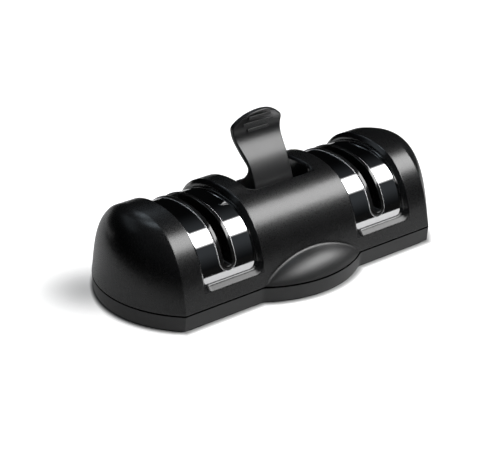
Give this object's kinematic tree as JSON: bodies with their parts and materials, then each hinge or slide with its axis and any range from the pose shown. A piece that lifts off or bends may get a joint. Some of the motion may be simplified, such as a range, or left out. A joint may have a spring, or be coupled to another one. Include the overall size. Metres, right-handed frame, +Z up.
{
  "type": "pull-through knife sharpener",
  "caption": "Pull-through knife sharpener: a black domed barrel with mirror-bright slotted stages, free-spinning bevelled wheels and a folding lever that works a suction cup in the base.",
  "frame": {"origin": "on the table under the middle of the base", "axes": "+X along the barrel towards the fine stage, -Y the side the user faces, +Z up"},
  "size_m": [0.2054, 0.1026, 0.0862],
  "materials": {
    "housing_plastic": "satin black moulding with a fine grain",
    "tray_plastic": "satin black moulding",
    "gasket_rubber": "dull black",
    "mirror_steel": "mirror polished",
    "guide_plastic": "gloss black",
    "lever_plastic": "satin black moulding",
    "inner_plastic": "plain moulded",
    "plain_steel": "plain",
    "cup_rubber": "smooth and dull",
    "coarse_abrasive": "grit coated",
    "fine_abrasive": "fine ground"
  },
  "bodies": {
    "body": {"upper_housing": "housing_plastic", "base_tray": "tray_plastic", "base_gasket": "gasket_rubber", "coarse_drum_cover": "mirror_steel", "fine_drum_cover": "mirror_steel", "coarse_slot_guide": "guide_plastic", "fine_slot_guide": "guide_plastic", "coarse_cradle": "inner_plastic", "fine_cradle": "inner_plastic", "coarse_axle": "plain_steel", "fine_axle": "plain_steel", "coarse_axle_clips": "plain_steel", "fine_axle_clips": "plain_steel", "cam_plate": "plain_steel", "suction_cup": "cup_rubber", "housing_screws": "plain_steel", "cradle_screws": "plain_steel"},
    "pull_stem": {"pull_stem": "inner_plastic", "cup_washer": "plain_steel"},
    "lever": {"suction_lever": "lever_plastic", "lever_pin": "plain_steel"},
    "coarse_wheels": {"coarse_wheel_hub": "inner_plastic", "coarse_wheel_left": "coarse_abrasive", "coarse_wheel_right": "coarse_abrasive"},
    "fine_wheels": {"fine_wheel_hub": "inner_plastic", "fine_wheel_left": "fine_abrasive", "fine_wheel_right": "fine_abrasive"}
  },
  "joints": [
    {"name": "stem_lift", "type": "slide", "parent": "body", "child": "pull_stem", "axis": [0, 0, 1], "range_m": [0, 0.0025], "deforming": ["suction_cup"]},
    {"name": "lever_hinge", "type": "hinge", "parent": "pull_stem", "child": "lever", "pos_m": [0, 0, 0.0413], "axis": [-1, 0, 0], "range_deg": [0, 80]},
    {"name": "coarse_wheels_spin", "type": "hinge", "parent": "body", "child": "coarse_wheels", "pos_m": [-0.05215, 0, 0.021], "axis": [1, 0, 0], "continuous": true},
    {"name": "fine_wheels_spin", "type": "hinge", "parent": "body", "child": "fine_wheels", "pos_m": [0.05215, 0, 0.021], "axis": [1, 0, 0], "continuous": true}
  ],
  "couplings": [
    {"joint": "stem_lift", "follows": "lever_hinge", "m_per_rad": 0.0017905}
  ]
}
